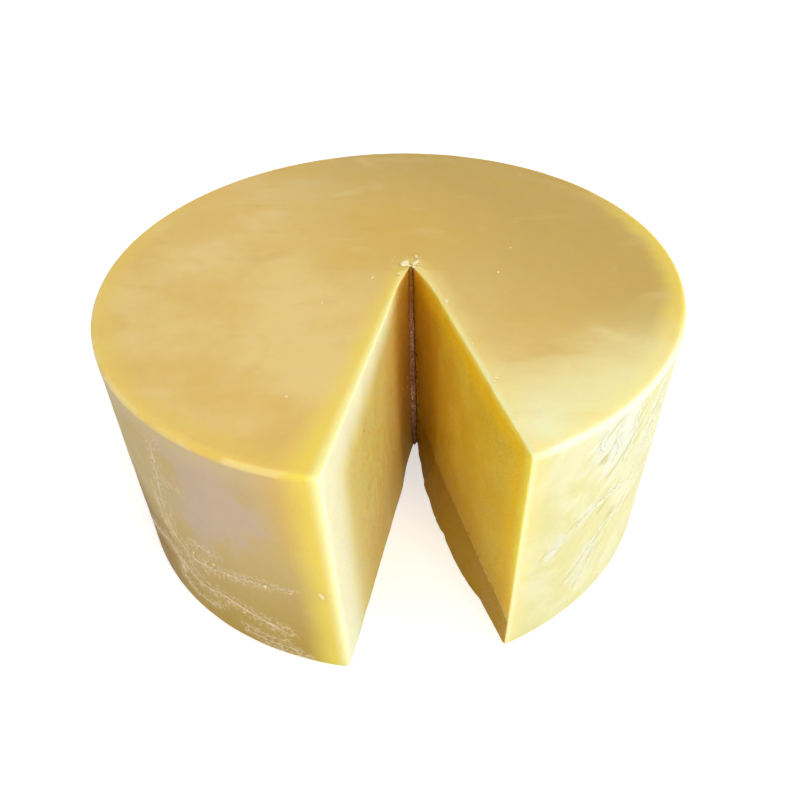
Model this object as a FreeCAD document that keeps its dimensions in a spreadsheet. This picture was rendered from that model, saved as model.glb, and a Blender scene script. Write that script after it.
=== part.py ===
import FreeCAD, Part
import math
import os
import Sketcher

# A straight-sided wheel of hard aged cheese that stands on its flat base, with one narrow
# wedge cut out of it. Millimetres and degrees. Z is up, the origin is the middle of the base,
# and the gap left by the wedge opens towards -Y.
#
# The wheel is one piece: a slightly oval drum with softly rounded rims. A knife went down on
# each side of the wedge and bent a little towards the middle, so the two cut faces are smooth
# and curve in to a narrow tip. It leaned on the left, and on the right it didn't reach the
# base, where the last of the cheese broke away and left a lip. The core of the wheel, between
# the inner edges of the two cuts, was torn out and is crumbly.

SIZES = {
    "wheel_diameter": 300,       # mean of the long and the short axis
    "out_of_round": 2.2,         # how much longer the long half-axis is than the mean radius
    "long_axis_angle": 48,       # from +X towards +Y
    "wheel_height": 134,
    "top_rim_radius": 2.6,
    "base_rim_radius": 2.0,
    "left_face_turn": 13.6,      # of the left cut face, away from -Y
    "left_face_offset": 7.2,     # where its top edge would pass the middle, along X
    "left_face_lean": 4.7,       # how far its foot stands into the gap
    "right_face_turn": 15,
    "right_face_offset": 15.5,
    "bend_reach": 30,            # from here inwards the faces curve to the tip
    "left_curve_bulge": 0.75,    # how far that curve stands out from a straight run
    "right_curve_bulge": 1.2,
    "tip_across_top": 10.4,      # middle of the tip, at the top and at the base
    "tip_back_top": 0.8,
    "tip_across_base": 13.4,
    "tip_back_base": 6.4,
    "torn_width_top": 3.5,       # of the torn core across the tip
    "torn_width_crease": 7.5,
    "torn_width_base": 4,
    "torn_depth": 2.2,           # of its deepest pit
    "torn_step": 3,              # from one crumbly ridge to the next, going up
    "lip_height": 22,            # of the crease above the broken lip
    "lip_reach": 6,              # how far the lip stands into the gap at the bend
    "lip_bulge": 4.5,            # extra reach of the lip half-way to the rind
    "break_through": 1,          # how far a cutter runs past the base and the top
    "past_rind": 10,             # how far the gap's cutter runs out past the rind
}

# The reach from the middle at which the gap's cutter is closed.
END_REACH = "(sizes.wheel_diameter / 2 + sizes.out_of_round + sizes.past_rind)"

# Where the torn core's columns stand, as shares of its half width. The two outer ones stay
# in the gap, in front of the tip, and the others dig into the cheese.
TORN_COLUMNS = (-0.92, -0.62, -0.3, 0.05, 0.35, 0.64, 0.92)
TORN_MOUTH = 0.6

# How deep the pits are, as shares of the deepest: the mean, and the two waves over it.
PIT_MEAN, COARSE_PITS, FINE_PITS = 0.55, 0.27, 0.18


def make_sheet(document):
    """The spreadsheet that holds every driving size, one alias to a row."""
    sheet = document.addObject("Spreadsheet::Sheet", "sizes")
    for row, (name, value) in enumerate(SIZES.items(), start=1):
        sheet.set(f"A{row}", name)
        sheet.set(f"B{row}", str(value))
        sheet.setAlias(f"B{row}", name)
    document.recompute()
    return sheet


def level_sketch(body, name, height_rule):
    """An empty sketch on the body's own XY plane, lifted to a height."""
    sketch = body.newObject("Sketcher::SketchObject", name)
    planes = [item for item in body.Origin.OriginFeatures if item.Role == "XY_Plane"]
    sketch.AttachmentSupport = [(planes[0], "")]
    sketch.MapMode = "FlatFace"
    sketch.setExpression("AttachmentOffset.Base.z", height_rule)
    return sketch


def bind(sketch, name, constraint, rule):
    """Add a constraint, name it and drive it from the sheet."""
    sketch.renameConstraint(sketch.addConstraint(constraint), name)
    sketch.setExpression(f"Constraints.{name}", rule)


def pin(sketch, name, curve, end, across_rule, back_rule):
    """Hold one end of a curve at a place given along X and along Y."""
    for kind, rule in (("DistanceX", across_rule), ("DistanceY", back_rule)):
        value = sketch.evalExpression(rule)
        constraint = Sketcher.Constraint(kind, -1, 1, curve, end, value)
        bind(sketch, f"{name}_{kind[-1].lower()}", constraint, rule)


def oval_sketch(body):
    """The slightly oval outline of the whole wheel: four arcs that run smoothly into each other.

    The two end arcs are centred on the long axis and the two side arcs on the short one, all
    four equally far out, so that the arcs meet where a line at 45 degrees passes two centres.
    """
    sketch = level_sketch(body, "rind_outline", "0 mm")
    sketch.AttachmentOffset = FreeCAD.Placement(
        FreeCAD.Vector(0, 0, 0), FreeCAD.Rotation(FreeCAD.Vector(0, 0, 1), 1))
    sketch.setExpression("AttachmentOffset.Rotation.Angle", "sizes.long_axis_angle")
    centre_rule = "2 * sizes.out_of_round / (2 - sqrt(2))"
    end_radius_rule = f"sizes.wheel_diameter / 2 + sizes.out_of_round - {centre_rule}"
    centre = sketch.evalExpression(centre_rule)
    end_radius = sketch.evalExpression(end_radius_rule)
    side_radius = end_radius + math.sqrt(2) * centre
    quarter = math.radians(45)
    up = FreeCAD.Vector(0, 0, 1)
    arcs = ((centre, 0, end_radius), (0, -centre, side_radius),
            (-centre, 0, end_radius), (0, centre, side_radius))
    for number, (x, y, radius) in enumerate(arcs):
        circle = Part.Circle(FreeCAD.Vector(x, y, 0), up, radius)
        start = (2 * number - 1) * quarter
        sketch.addGeometry(Part.ArcOfCircle(circle, start, start + 2 * quarter), False)
    right, back, left, front = range(4)
    for before, after in ((right, back), (back, left), (left, front), (front, right)):
        sketch.addConstraint(Sketcher.Constraint("Tangent", before, 2, after, 1))
    for arc, axis in ((right, -1), (left, -1), (back, -2)):
        sketch.addConstraint(Sketcher.Constraint("PointOnObject", arc, 3, axis))
    sketch.addConstraint(Sketcher.Constraint("Equal", back, front))
    bind(sketch, "right_centre", Sketcher.Constraint("DistanceX", -1, 1, right, 3, centre), centre_rule)
    bind(sketch, "back_centre", Sketcher.Constraint("DistanceY", back, 3, -1, 1, centre), centre_rule)
    bind(sketch, "left_centre", Sketcher.Constraint("DistanceX", left, 3, -1, 1, centre), centre_rule)
    bind(sketch, "end_radius", Sketcher.Constraint("Radius", right, end_radius), end_radius_rule)
    return sketch


def gap_corners(height_rule, torn_width_rule, lip_reach_rule):
    """The corners of the gap at a height, as rules along X and along Y.

    They run in along the left face, across the torn tip and out along the right face.
    """
    foot_share = f"(1 - ({height_rule}) / sizes.wheel_height)"
    left = f"sizes.left_face_offset + sizes.left_face_lean * {foot_share}"
    left_slope = "tan(sizes.left_face_turn * 1 deg)"
    right = "sizes.right_face_offset"
    right_slope = "tan(sizes.right_face_turn * 1 deg)"
    bend = "sizes.bend_reach"
    tip = f"sizes.tip_across_top + (sizes.tip_across_base - sizes.tip_across_top) * {foot_share}"
    tip_back = f"sizes.tip_back_top + (sizes.tip_back_base - sizes.tip_back_top) * {foot_share}"
    return {
        "left_end": (f"{left} - {left_slope} * {END_REACH}", f"-{END_REACH}"),
        "left_bend": (f"{left} - {left_slope} * {bend}", f"-{bend}"),
        "left_tip": (f"{tip} - {torn_width_rule} / 2", tip_back),
        "right_tip": (f"{tip} + {torn_width_rule} / 2", tip_back),
        "right_bend": (f"{right} + {right_slope} * {bend} - {lip_reach_rule}", f"-{bend}"),
        "right_end": (f"{right} + {right_slope} * {END_REACH}", f"-{END_REACH}"),
    }


def arc_with_bulge(start, end, bulge):
    """An arc from start to end that stands out by the bulge, to the right of its way."""
    along = end - start
    out = FreeCAD.Vector(along.y, -along.x, 0).normalize()
    return Part.Arc(start, (start + end) / 2 + out * bulge, end)


def gap_sketch(body, name, height_rule, torn_width_rule, lip_reach_rule, bulges):
    """One level of the gap, closed outside the rind.

    Bulges gives the edges that are arcs: the corner each starts from, the size of its bulge,
    and 1 where it stands out to the right of its way or -1 to the left.
    """
    sketch = level_sketch(body, name, height_rule)
    corners = gap_corners(height_rule, torn_width_rule, lip_reach_rule)
    names = list(corners)
    places = [FreeCAD.Vector(*(sketch.evalExpression(rule) for rule in corners[corner]), 0)
              for corner in names]
    ends = []
    for index, corner in enumerate(names):
        start, end = places[index], places[(index + 1) % len(places)]
        if corner in bulges:
            size, side = bulges[corner]
            bulge = side * sketch.evalExpression(f"sizes.{size}")
            sketch.addGeometry(arc_with_bulge(start, end, bulge), False)
        else:
            sketch.addGeometry(Part.LineSegment(start, end), False)
        forward = sketch.getPoint(index, 1).distanceToPoint(start) < 0.01
        ends.append((1, 2) if forward else (2, 1))

    for index, corner in enumerate(names):
        before = (index - 1) % len(names)
        joint = Sketcher.Constraint("Coincident", before, ends[before][1], index, ends[index][0])
        sketch.addConstraint(joint)
        pin(sketch, corner, index, ends[index][0], *corners[corner])
    for corner, (size, _) in bulges.items():
        index = names.index(corner)
        start_rules, end_rules = corners[corner], corners[names[index + 1]]
        run_x, run_y = (f"(({end}) - ({start}))" for start, end in zip(start_rules, end_rules))
        radius_rule = f"(({run_x}^2 + {run_y}^2) / 4 + sizes.{size}^2) / (2 * sizes.{size})"
        radius = Sketcher.Constraint("Radius", index, sketch.evalExpression(radius_rule))
        bind(sketch, f"{size}_radius", radius, radius_rule)
    return sketch


def make_drum(body):
    """The whole wheel before the cut, with its two rims rounded."""
    drum = body.newObject("PartDesign::Pad", "drum")
    drum.Profile = oval_sketch(body)
    drum.setExpression("Length", "sizes.wheel_height")
    body.Document.recompute()
    last = drum
    for name, radius, height in (("top_rim", "top_rim_radius", drum.Shape.BoundBox.ZMax),
                                 ("base_rim", "base_rim_radius", drum.Shape.BoundBox.ZMin)):
        rims = [f"Edge{index}" for index, edge in enumerate(last.Shape.Edges, start=1)
                if max(abs(vertex.Z - height) for vertex in edge.Vertexes) < 0.01]
        rim = body.newObject("PartDesign::Fillet", name)
        rim.Base = (last, rims)
        rim.setExpression("Radius", f"sizes.{radius}")
        body.Document.recompute()
        last = rim


def cut_gap(body):
    """Take the wedge out, from a level just below the base, by the crease, to past the top."""
    curves = {"left_bend": ("left_curve_bulge", -1), "right_tip": ("right_curve_bulge", -1)}
    lip = {"right_bend": ("lip_bulge", 1)}
    top_rule = "sizes.wheel_height + sizes.break_through"
    base = gap_sketch(body, "gap_at_base", "-sizes.break_through",
                      "sizes.torn_width_base", "sizes.lip_reach", lip)
    crease = gap_sketch(body, "gap_at_crease", "sizes.lip_height",
                        "sizes.torn_width_crease", "0", curves)
    top = gap_sketch(body, "gap_at_top", top_rule,
                     "sizes.torn_width_top", "0", curves)
    gap = body.newObject("PartDesign::SubtractiveLoft", "wedge_gap")
    gap.Profile = base
    gap.Sections = [crease, top]
    gap.Ruled = True
    body.Document.recompute()


def crumble(level, column):
    """How deep a pit of the torn core is, as a share of the deepest.

    The two waves turn by odd steps from level to level, so the pits never stand in rows.
    """
    coarse = math.sin(1.3 * level + 2.1 * column)
    fine = math.sin(3.7 * level - 1.9 * column + 1.0)
    return PIT_MEAN + COARSE_PITS * coarse + FINE_PITS * fine


def between(share, start, end):
    """A size part of the way from its start to its end."""
    return start + (end - start) * share


def torn_level(sheet, height):
    """One level of the torn core's cutter: its flat mouth in the gap and its rough back."""
    size = sheet.get
    foot_share = 1 - height / size("wheel_height")
    tip_x = between(foot_share, size("tip_across_top"), size("tip_across_base"))
    tip_y = between(foot_share, size("tip_back_top"), size("tip_back_base"))
    crease, low = size("lip_height"), -size("break_through")
    high = size("wheel_height") + size("break_through")
    if height < crease:
        share = (height - low) / (crease - low)
        half_width = between(share, size("torn_width_base"), size("torn_width_crease")) / 2
    else:
        share = (height - crease) / (high - crease)
        half_width = between(share, size("torn_width_crease"), size("torn_width_top")) / 2

    first, *digging, last = range(len(TORN_COLUMNS))
    places = [(TORN_COLUMNS[last], -TORN_MOUTH), (TORN_COLUMNS[first], -TORN_MOUTH)]
    places.append((TORN_COLUMNS[first], -TORN_MOUTH / 2))
    for column in digging:
        depth = size("torn_depth") * crumble(height / size("torn_step"), column)
        places.append((TORN_COLUMNS[column], depth))
    places.append((TORN_COLUMNS[last], -TORN_MOUTH / 2))
    return [FreeCAD.Vector(tip_x + half_width * across, tip_y + back, height) for across, back in places]


def make_torn_core(document, sheet):
    """The cutter that tears the core: ridges and pits joined level by level by facets."""
    low = -sheet.get("break_through")
    high = sheet.get("wheel_height") + sheet.get("break_through")
    steps = max(2, round((high - low) / sheet.get("torn_step")))
    levels = [torn_level(sheet, low + (high - low) * step / steps) for step in range(steps + 1)]
    facets = []
    count = len(levels[0])
    for lower, upper in zip(levels, levels[1:]):
        for index in range(count):
            after = (index + 1) % count
            facets.append((lower[index], lower[after], upper[after]))
            facets.append((lower[index], upper[after], upper[index]))
    facets.append(tuple(levels[0]))
    facets.append(tuple(levels[-1]))
    faces = [Part.Face(Part.makePolygon([*facet, facet[0]])) for facet in facets]
    solid = Part.makeSolid(Part.makeShell(faces))
    if solid.Volume < 0:
        solid.reverse()
    core = document.addObject("Part::Feature", "torn_core")
    core.Shape = solid
    return core


document = FreeCAD.newDocument("cheese_wheel")
sizes = make_sheet(document)
wheel = document.addObject("PartDesign::Body", "wheel_with_gap")
make_drum(wheel)
cut_gap(wheel)
core = make_torn_core(document, sizes)
cheese = document.addObject("Part::Cut", "cheese_wheel")
cheese.Label = "cheese_wheel"
cheese.Base = wheel
cheese.Tool = core
document.recompute()

for item in document.Objects:
    if "Invalid" in item.State or "Error" in item.State:
        raise RuntimeError(f"{item.Name} failed: {item.State}")
if cheese.Shape.isNull() or not cheese.Shape.isValid():
    raise RuntimeError("the wheel has no valid shape")

os.makedirs("parts", exist_ok=True)
cheese.Shape.exportStep(f"parts/{cheese.Label}.step")
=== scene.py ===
import math
import random

import bpy
import numpy as np
from mathutils import Matrix, Vector, geometry, noise


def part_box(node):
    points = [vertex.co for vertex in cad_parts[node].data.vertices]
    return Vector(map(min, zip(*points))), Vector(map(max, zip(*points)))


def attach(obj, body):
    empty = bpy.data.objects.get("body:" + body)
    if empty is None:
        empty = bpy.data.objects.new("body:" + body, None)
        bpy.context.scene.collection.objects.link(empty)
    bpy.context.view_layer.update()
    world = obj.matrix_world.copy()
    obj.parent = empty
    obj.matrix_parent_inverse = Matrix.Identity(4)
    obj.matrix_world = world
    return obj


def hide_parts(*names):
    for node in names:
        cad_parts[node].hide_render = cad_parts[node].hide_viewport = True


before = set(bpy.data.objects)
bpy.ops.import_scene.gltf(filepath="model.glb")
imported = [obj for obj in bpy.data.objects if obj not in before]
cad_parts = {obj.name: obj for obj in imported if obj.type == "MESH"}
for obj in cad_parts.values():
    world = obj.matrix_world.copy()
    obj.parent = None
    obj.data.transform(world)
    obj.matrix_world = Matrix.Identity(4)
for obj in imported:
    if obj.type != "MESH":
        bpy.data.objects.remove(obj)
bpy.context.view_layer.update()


# The wheel of cheese: one piece, pressed in a straight-sided mould, with a thin waxy rind.
# A knife took out one narrow wedge: two smooth faces that curve in to the torn core, the left
# one leaning a little, the right one ending in a broken lip above the base.

high_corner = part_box("cheese_wheel")[1]
wheel_height = high_corner[2]
room_for_relief = 0.0003
mean_radius = (high_corner[0] + high_corner[1]) / 2 - room_for_relief
out_of_round = 0.0022
long_axis_angle = math.radians(48)

left_slope = math.tan(math.radians(13.6))
right_slope = math.tan(math.radians(15))
left_top_offset = 0.0072
left_lean = 0.0047
right_offset = 0.0155
bend_reach = 0.030
tip_top = (0.0104, 0.0008)
tip_base = (0.0134, 0.0064)
crease_height = 0.022
torn_half_widths = {"base": 0.0013, "crease": 0.0029, "top": 0.0012}

# How far the broken lip stands into the gap at the base, from the tip out to the rind.
lip_reaches = [-0.0064, 0.0037, 0.025, 0.057, 0.085, 0.099, 0.112, 0.135]
lip_widths = [0.0, 0.0033, 0.0063, 0.0083, 0.0074, 0.0062, 0.0024, 0.0004]


def rind_radius(angle):
    """The rind is a little out of round: the wheel is wider along one way than the other."""
    return mean_radius + out_of_round * np.cos(2 * (angle - long_axis_angle))


def face_across(side, reach, height):
    """Where a cut face lies along X, at a reach out from the middle and a height."""
    if side == "left":
        return left_top_offset + left_lean * (1 - height / wheel_height) - left_slope * reach
    return right_offset + right_slope * reach


def cut_corner(side, height):
    """Where a cut face comes out through the rind, found by halving the reach."""
    near, far = 0.10, 0.17
    for _ in range(40):
        reach = (near + far) / 2
        across = face_across(side, reach, height)
        if math.hypot(across, reach) < rind_radius(math.atan2(-reach, across)):
            near = reach
        else:
            far = reach
    return np.array([face_across(side, near, height), -near])


def bent_in(start, end, out, bulge, count):
    """Points from start towards end on a shallow curve that stands out sideways."""
    share = np.linspace(0, 1, count, endpoint=False)[:, None]
    return start + (end - start) * share + out * (4 * bulge * share * (1 - share))


def rounded(before, corner, after, count):
    """A small curve that takes the sharpness off a corner of the outline."""
    share = np.linspace(0, 1, count, endpoint=False)[:, None]
    return before * (1 - share) ** 2 + 2 * corner * share * (1 - share) + after * share ** 2


left_corner_cut, right_corner_cut = 0.0034, 0.0015
corner_columns, rind_columns, face_columns, bend_columns, tip_columns = 7, 430, 76, 26, 8
tip_recess = 0.0016
left_curve_bulge, right_curve_bulge = 0.0007, 0.0011


def outline(level):
    """The wheel seen from above at one level, as a closed ring of points.

    It runs round the rind from the right cut to the left one, in to the tip and out again.
    """
    height = {"base": 0.0, "crease": crease_height, "top": wheel_height}[level]
    foot_share = 1 - height / wheel_height
    tip = np.array(tip_top) * (1 - foot_share) + np.array(tip_base) * foot_share
    half = np.array([torn_half_widths[level], 0])
    right_corner, left_corner = cut_corner("right", height), cut_corner("left", height)
    left_bend = np.array([face_across("left", bend_reach, height), -bend_reach])
    right_bend = np.array([face_across("right", bend_reach, height), -bend_reach])
    start = math.atan2(right_corner[1], right_corner[0]) + right_corner_cut / mean_radius
    end = math.atan2(left_corner[1], left_corner[0]) + 2 * math.pi - left_corner_cut / mean_radius
    angles = np.linspace(start, end, rind_columns)
    radii = rind_radius(angles)
    rind = np.stack([radii * np.cos(angles), radii * np.sin(angles)], 1)

    def toward(point, other, distance):
        way = other - point
        return point + way * distance / np.linalg.norm(way)

    left_in = toward(left_corner, left_bend, left_corner_cut)
    right_in = toward(right_corner, right_bend, right_corner_cut)
    along = np.linspace(0, 1, face_columns, endpoint=False)[:, None]
    left_face = left_in + (left_bend - left_in) * along
    left_curve = bent_in(left_bend, tip - half, np.array([-1, 0]), left_curve_bulge, bend_columns)
    torn = (tip - half) + (2 * half) * np.linspace(0, 1, tip_columns, endpoint=False)[:, None]
    torn[1:, 1] += tip_recess
    right_curve = bent_in(tip + half, right_bend, np.array([1, 0]), right_curve_bulge, bend_columns)
    right_face = right_bend + (right_in - right_bend) * along
    if level == "base":
        for stretch in (right_curve, right_face):
            stretch[:, 0] -= np.interp(-stretch[:, 1], lip_reaches, lip_widths)
    return np.concatenate([
        rounded(right_in, right_corner, rind[0], corner_columns), rind[:-1],
        rounded(rind[-1], left_corner, left_in, corner_columns), left_face, left_curve,
        torn, right_curve, right_face])


rings = {level: outline(level) for level in ("base", "crease", "top")}
columns = len(rings["top"])
rind_first = corner_columns
rind_last = rind_first + rind_columns - 1
left_first = rind_last + corner_columns
tip_first = left_first + face_columns + bend_columns
right_first = tip_first + tip_columns


def ring_at(height):
    """The outline at any height, straight between the base, the crease and the top."""
    if height < crease_height:
        share = height / crease_height
        return rings["base"] * (1 - share) + rings["crease"] * share
    share = (height - crease_height) / (wheel_height - crease_height)
    return rings["crease"] * (1 - share) + rings["top"] * share


def outward(ring):
    """Unit normals of a ring, pointing out of the cheese."""
    way = np.roll(ring, -1, 0) - np.roll(ring, 1, 0)
    way /= np.linalg.norm(way, axis=1)[:, None]
    return np.stack([way[:, 1], -way[:, 0]], 1)


def waves(x, y, z, seed, size, octaves=3):
    """Smooth, never repeating unevenness between about -1 and 1, at a size in metres."""
    dice = random.Random(seed)
    total = np.zeros_like(x)
    weight = 0
    for octave in range(octaves):
        scale = 2 * math.pi / size * 1.9 ** octave
        strength = 0.6 ** octave
        for _ in range(4):
            way = Vector((dice.gauss(0, 1), dice.gauss(0, 1), dice.gauss(0, 1))).normalized()
            phase = dice.uniform(0, 2 * math.pi)
            total += strength * np.sin(scale * (way.x * x + way.y * y + way.z * z) + phase)
            weight += strength * 0.5
    return total / weight


# How far the edges are rounded: a soft rim round the rind, crisper ones along the cuts.
top_rim_radius, base_rim_extra = 0.0026, 0.0012
edge_radius, left_edge_radius, tip_edge_radius = 0.0008, 0.0013, 0.0011
rim_taper_columns = 10
numbers = np.arange(columns)
on_rind = np.zeros(columns)
on_rind[rind_first:rind_last] = 1
for step in range(corner_columns):
    on_rind[step] = (step + 1) / (corner_columns + 1)
    on_rind[rind_last + step] = 1 - (step + 1) / (corner_columns + 1)
from_corner = np.minimum(np.abs(numbers - rind_first), np.abs(numbers - rind_last))
rim_share = np.clip(from_corner / rim_taper_columns, 0, 1) * (on_rind == 1)
from_tip = np.abs(numbers - (tip_first + tip_columns / 2))
tip_share = np.clip((from_tip - 4) / 6, 0.25, 1)
cut_rounding = np.interp(
    numbers, [0, rind_first, rind_last, tip_first, right_first, columns],
    [edge_radius, edge_radius, left_edge_radius, tip_edge_radius, edge_radius, edge_radius])
top_rounding = (cut_rounding + (top_rim_radius - cut_rounding) * rim_share) * tip_share
base_rounding = (edge_radius + base_rim_extra * rim_share) * tip_share

rim_steps = 6
wall_rows = 84
row_rings, row_heights = [], []
for row in range(rim_steps + wall_rows + rim_steps):
    if row < rim_steps:
        turn = math.pi / 2 * (1 - row / rim_steps)
        inset = base_rounding * (1 - math.cos(turn))
        height = base_rounding * (1 - math.sin(turn))
    elif row < rim_steps + wall_rows:
        share = (row - rim_steps) / (wall_rows - 1)
        inset = np.zeros(columns)
        height = base_rounding + (wheel_height - top_rounding - base_rounding) * share
    else:
        turn = math.pi / 2 * (row - rim_steps - wall_rows + 1) / rim_steps
        inset = top_rounding * (1 - math.cos(turn))
        height = wheel_height - top_rounding * (1 - math.sin(turn))
    flat = ring_at(float(np.mean(height)))
    row_rings.append(flat - outward(flat) * inset[:, None])
    row_heights.append(height)
wall = np.concatenate([np.array(row_rings), np.array(row_heights)[:, :, None]], 2)


def press_relief(x, y, z):
    """How far the rind stands off the true round: a little uneven from the press."""
    swells = 0.00017 * waves(x, y, z, 3, 0.09)
    ripples = 0.00010 * waves(x, y, z, 5, 0.028)
    return -room_for_relief + swells + ripples


# The knife left long shallow waves on the cut faces.
x, y, z = wall[:, :, 0], wall[:, :, 1], wall[:, :, 2]
rind_relief = press_relief(x, y, z)
knife_relief = 0.00012 * waves(x, y, z * 0.3, 7, 0.016) + 0.00008 * waves(x, y, z, 9, 0.028)
# The broken lip has crumbled a little along its foot, in bites of a few millimetres.
bite_size, bite_height, bite_depth = 0.013, 0.004, 0.0011
lip_share = np.zeros(columns)
lip_share[right_first:] = np.interp(
    -rings["base"][right_first:, 1], [0.0, 0.01, 0.10, 0.125], [0, 1, 1, 0])
bites = np.clip(waves(x, y, z, 13, bite_size) - 0.2, 0, 1) * np.clip(1 - z / bite_height, 0, 1)
relief = on_rind * rind_relief + (1 - on_rind) * knife_relief - bite_depth * bites * lip_share
for row in range(len(wall)):
    wall[row, :, :2] += outward(wall[row, :, :2]) * relief[row][:, None]


def tiled(ring, spacing, seed):
    """Fills a closed ring with even triangles: its points, with new ones inside, and faces."""
    dice = random.Random(seed)
    lows, highs = ring.min(0), ring.max(0)
    inside = []
    rows = int((highs[1] - lows[1]) / (spacing * 0.866))
    for row in range(rows):
        for step in range(int((highs[0] - lows[0]) / spacing)):
            inside.append((lows[0] + spacing * (step + (row % 2) / 2 + dice.uniform(-0.2, 0.2)),
                           lows[1] + spacing * 0.866 * (row + dice.uniform(-0.2, 0.2))))
    inside = np.array(inside)
    # A point counts as inside where an odd number of edges cross the line to its right.
    ends = np.roll(ring, -1, 0)
    above = (ring[None, :, 1] > inside[:, None, 1]) != (ends[None, :, 1] > inside[:, None, 1])
    rise = np.where(np.abs(ends[:, 1] - ring[:, 1]) < 1e-12, 1e-12, ends[:, 1] - ring[:, 1])
    run = ends[:, 0] - ring[:, 0]
    meets = ring[None, :, 0] + (inside[:, None, 1] - ring[None, :, 1]) * run / rise
    odd = (above & (inside[:, None, 0] < meets)).sum(1) % 2 == 1
    clear = np.hypot(inside[:, None, 0] - ring[None, :, 0],
                     inside[:, None, 1] - ring[None, :, 1]).min(1) > spacing * 0.55
    inside = inside[odd & clear]
    every = [Vector((float(px), float(py))) for px, py in np.concatenate([ring, inside])]
    border = [(number, (number + 1) % len(ring)) for number in range(len(ring))]
    found = geometry.delaunay_2d_cdt(every, border, [], 1, 1e-7)
    triangles = [[found[3][corner][0] for corner in face] for face in found[2]]
    return inside, triangles


def new_piece(name, points, faces, smooth):
    """A mesh object made of points and faces, put into the scene."""
    mesh = bpy.data.meshes.new(name)
    mesh.from_pydata([tuple(map(float, point)) for point in points], [], faces)
    mesh.polygons.foreach_set("use_smooth", [smooth] * len(mesh.polygons))
    mesh.update()
    piece = bpy.data.objects.new(name, mesh)
    bpy.context.scene.collection.objects.link(piece)
    return piece


def keep_layer(piece, name, values):
    """Keeps one number for each point of a mesh, for its finish to read."""
    layer = piece.data.attributes.new(name, "FLOAT", "POINT")
    layer.data.foreach_set("value", np.asarray(values, dtype=np.float32))


top_spacing, base_spacing = 0.0032, 0.0070
top_inside, top_faces = tiled(wall[-1, :, :2], top_spacing, 21)
base_inside, base_faces = tiled(wall[0, :, :2], base_spacing, 22)
reach_share = np.hypot(top_inside[:, 0], top_inside[:, 1]) / mean_radius
shoulder = np.clip((reach_share - 0.925) / 0.055, 0, 1)
press_marks = waves(top_inside[:, 0], top_inside[:, 1], 0 * reach_share, 11, 0.12)
small_marks = waves(top_inside[:, 0], top_inside[:, 1], 0 * reach_share, 12, 0.035)
top_sink, shoulder_drop, press_depth, small_depth = 0.0001, 0.00028, 0.00013, 0.00005
top_drop = top_sink + shoulder_drop * shoulder ** 2 * (3 - 2 * shoulder)
top_heights = wheel_height - top_drop - press_depth * (1 + press_marks) - small_depth * (1 + small_marks)

wall_points = wall.reshape(-1, 3)
points = np.concatenate([
    wall_points,
    np.concatenate([top_inside, np.minimum(top_heights, wheel_height)[:, None]], 1),
    np.concatenate([base_inside, np.zeros((len(base_inside), 1))], 1)])
top_start = len(wall_points)
base_start = top_start + len(top_inside)
last_row = (len(wall) - 1) * columns
faces = []
for row in range(len(wall) - 1):
    for column in range(columns):
        after = (column + 1) % columns
        faces.append((row * columns + column, row * columns + after,
                      (row + 1) * columns + after, (row + 1) * columns + column))
for triangle in top_faces:
    faces.append([last_row + n if n < columns else top_start + n - columns for n in triangle])
for triangle in base_faces:
    faces.append([n if n < columns else base_start + n - columns for n in reversed(triangle)])
wheel = new_piece("cheese_wheel_looks", points, faces, True)

# Where marks run over the rind: dried whey dragged along the left side, lifted wax on the right.
# Beside the whey the rind is crazed and paler; beside the wax it is milky where the wax lifted,
# with painted shade in the hollows. Each line is a path of (turn round the wheel in degrees,
# height in mm), then its width and how proud it stands, in mm.
scuff_lines = [
    ([(-131.5, 122), (-133, 119), (-133.4, 110), (-134, 100), (-134.8, 88), (-135.4, 74)], 1.4, 0.20),
    ([(-135.4, 76), (-135.6, 64), (-134.6, 55), (-130.5, 47.5), (-127.5, 47.5), (-125.4, 49.2)],
     2.2, 0.28),
    ([(-137.2, 84), (-137.4, 70), (-137.0, 60), (-135.6, 52)], 1.4, 0.18),
    ([(-125.2, 47.6), (-123.5, 50.2), (-120, 52), (-116.5, 54.4), (-113.4, 55.6)], 1.4, 0.20),
    ([(-150.5, 25), (-148, 32), (-143, 38.5), (-138.5, 40.8), (-135.6, 37)], 2.0, 0.26),
    ([(-136.4, 40), (-135.6, 32), (-135.8, 22), (-134.2, 15.5)], 1.5, 0.22),
    ([(-135.6, 36), (-132.6, 31.2), (-130, 27), (-127.4, 27.6), (-124.6, 30)], 1.7, 0.24),
    ([(-125.4, 30.4), (-122, 29), (-118.5, 27), (-114.6, 24.2), (-111, 21.6)], 1.9, 0.24),
    ([(-134, 38), (-135.2, 27), (-136, 17)], 1.0, 0.16),
    ([(-136.4, 17.4), (-133.6, 14.2), (-131, 13), (-127.4, 15), (-124.8, 20)], 1.2, 0.18),
    ([(-131.8, 49), (-131.6, 41), (-130.6, 36.5), (-128, 33)], 1.0, 0.15),
    ([(-129, 60), (-126.8, 62.4), (-124.2, 62), (-122.6, 63.4)], 1.0, 0.15),
    ([(-131.5, 96), (-129.6, 98), (-127.8, 97)], 0.8, 0.14),
    ([(-111.2, 57.2), (-109.6, 56.4), (-107.8, 57)], 0.8, 0.14),
    ([(-121, 13.4), (-116, 12.4), (-110.5, 12.8)], 0.7, 0.10),
    ([(-120, 8.4), (-114.5, 7.2), (-108.6, 7.6)], 0.7, 0.10),
    ([(-117, 4.2), (-111.6, 3.6), (-106.2, 4.0)], 0.7, 0.10),
    ([(-158, 46), (-168, 39), (-180, 36), (-193, 30), (-207, 31)], 0.8, 0.10),
    ([(-204, 94), (-216, 89), (-231, 91), (-246, 86)], 0.7, 0.08),
    ([(-222, 25), (-236, 20.5), (-251, 22)], 0.8, 0.10),
]
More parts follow.
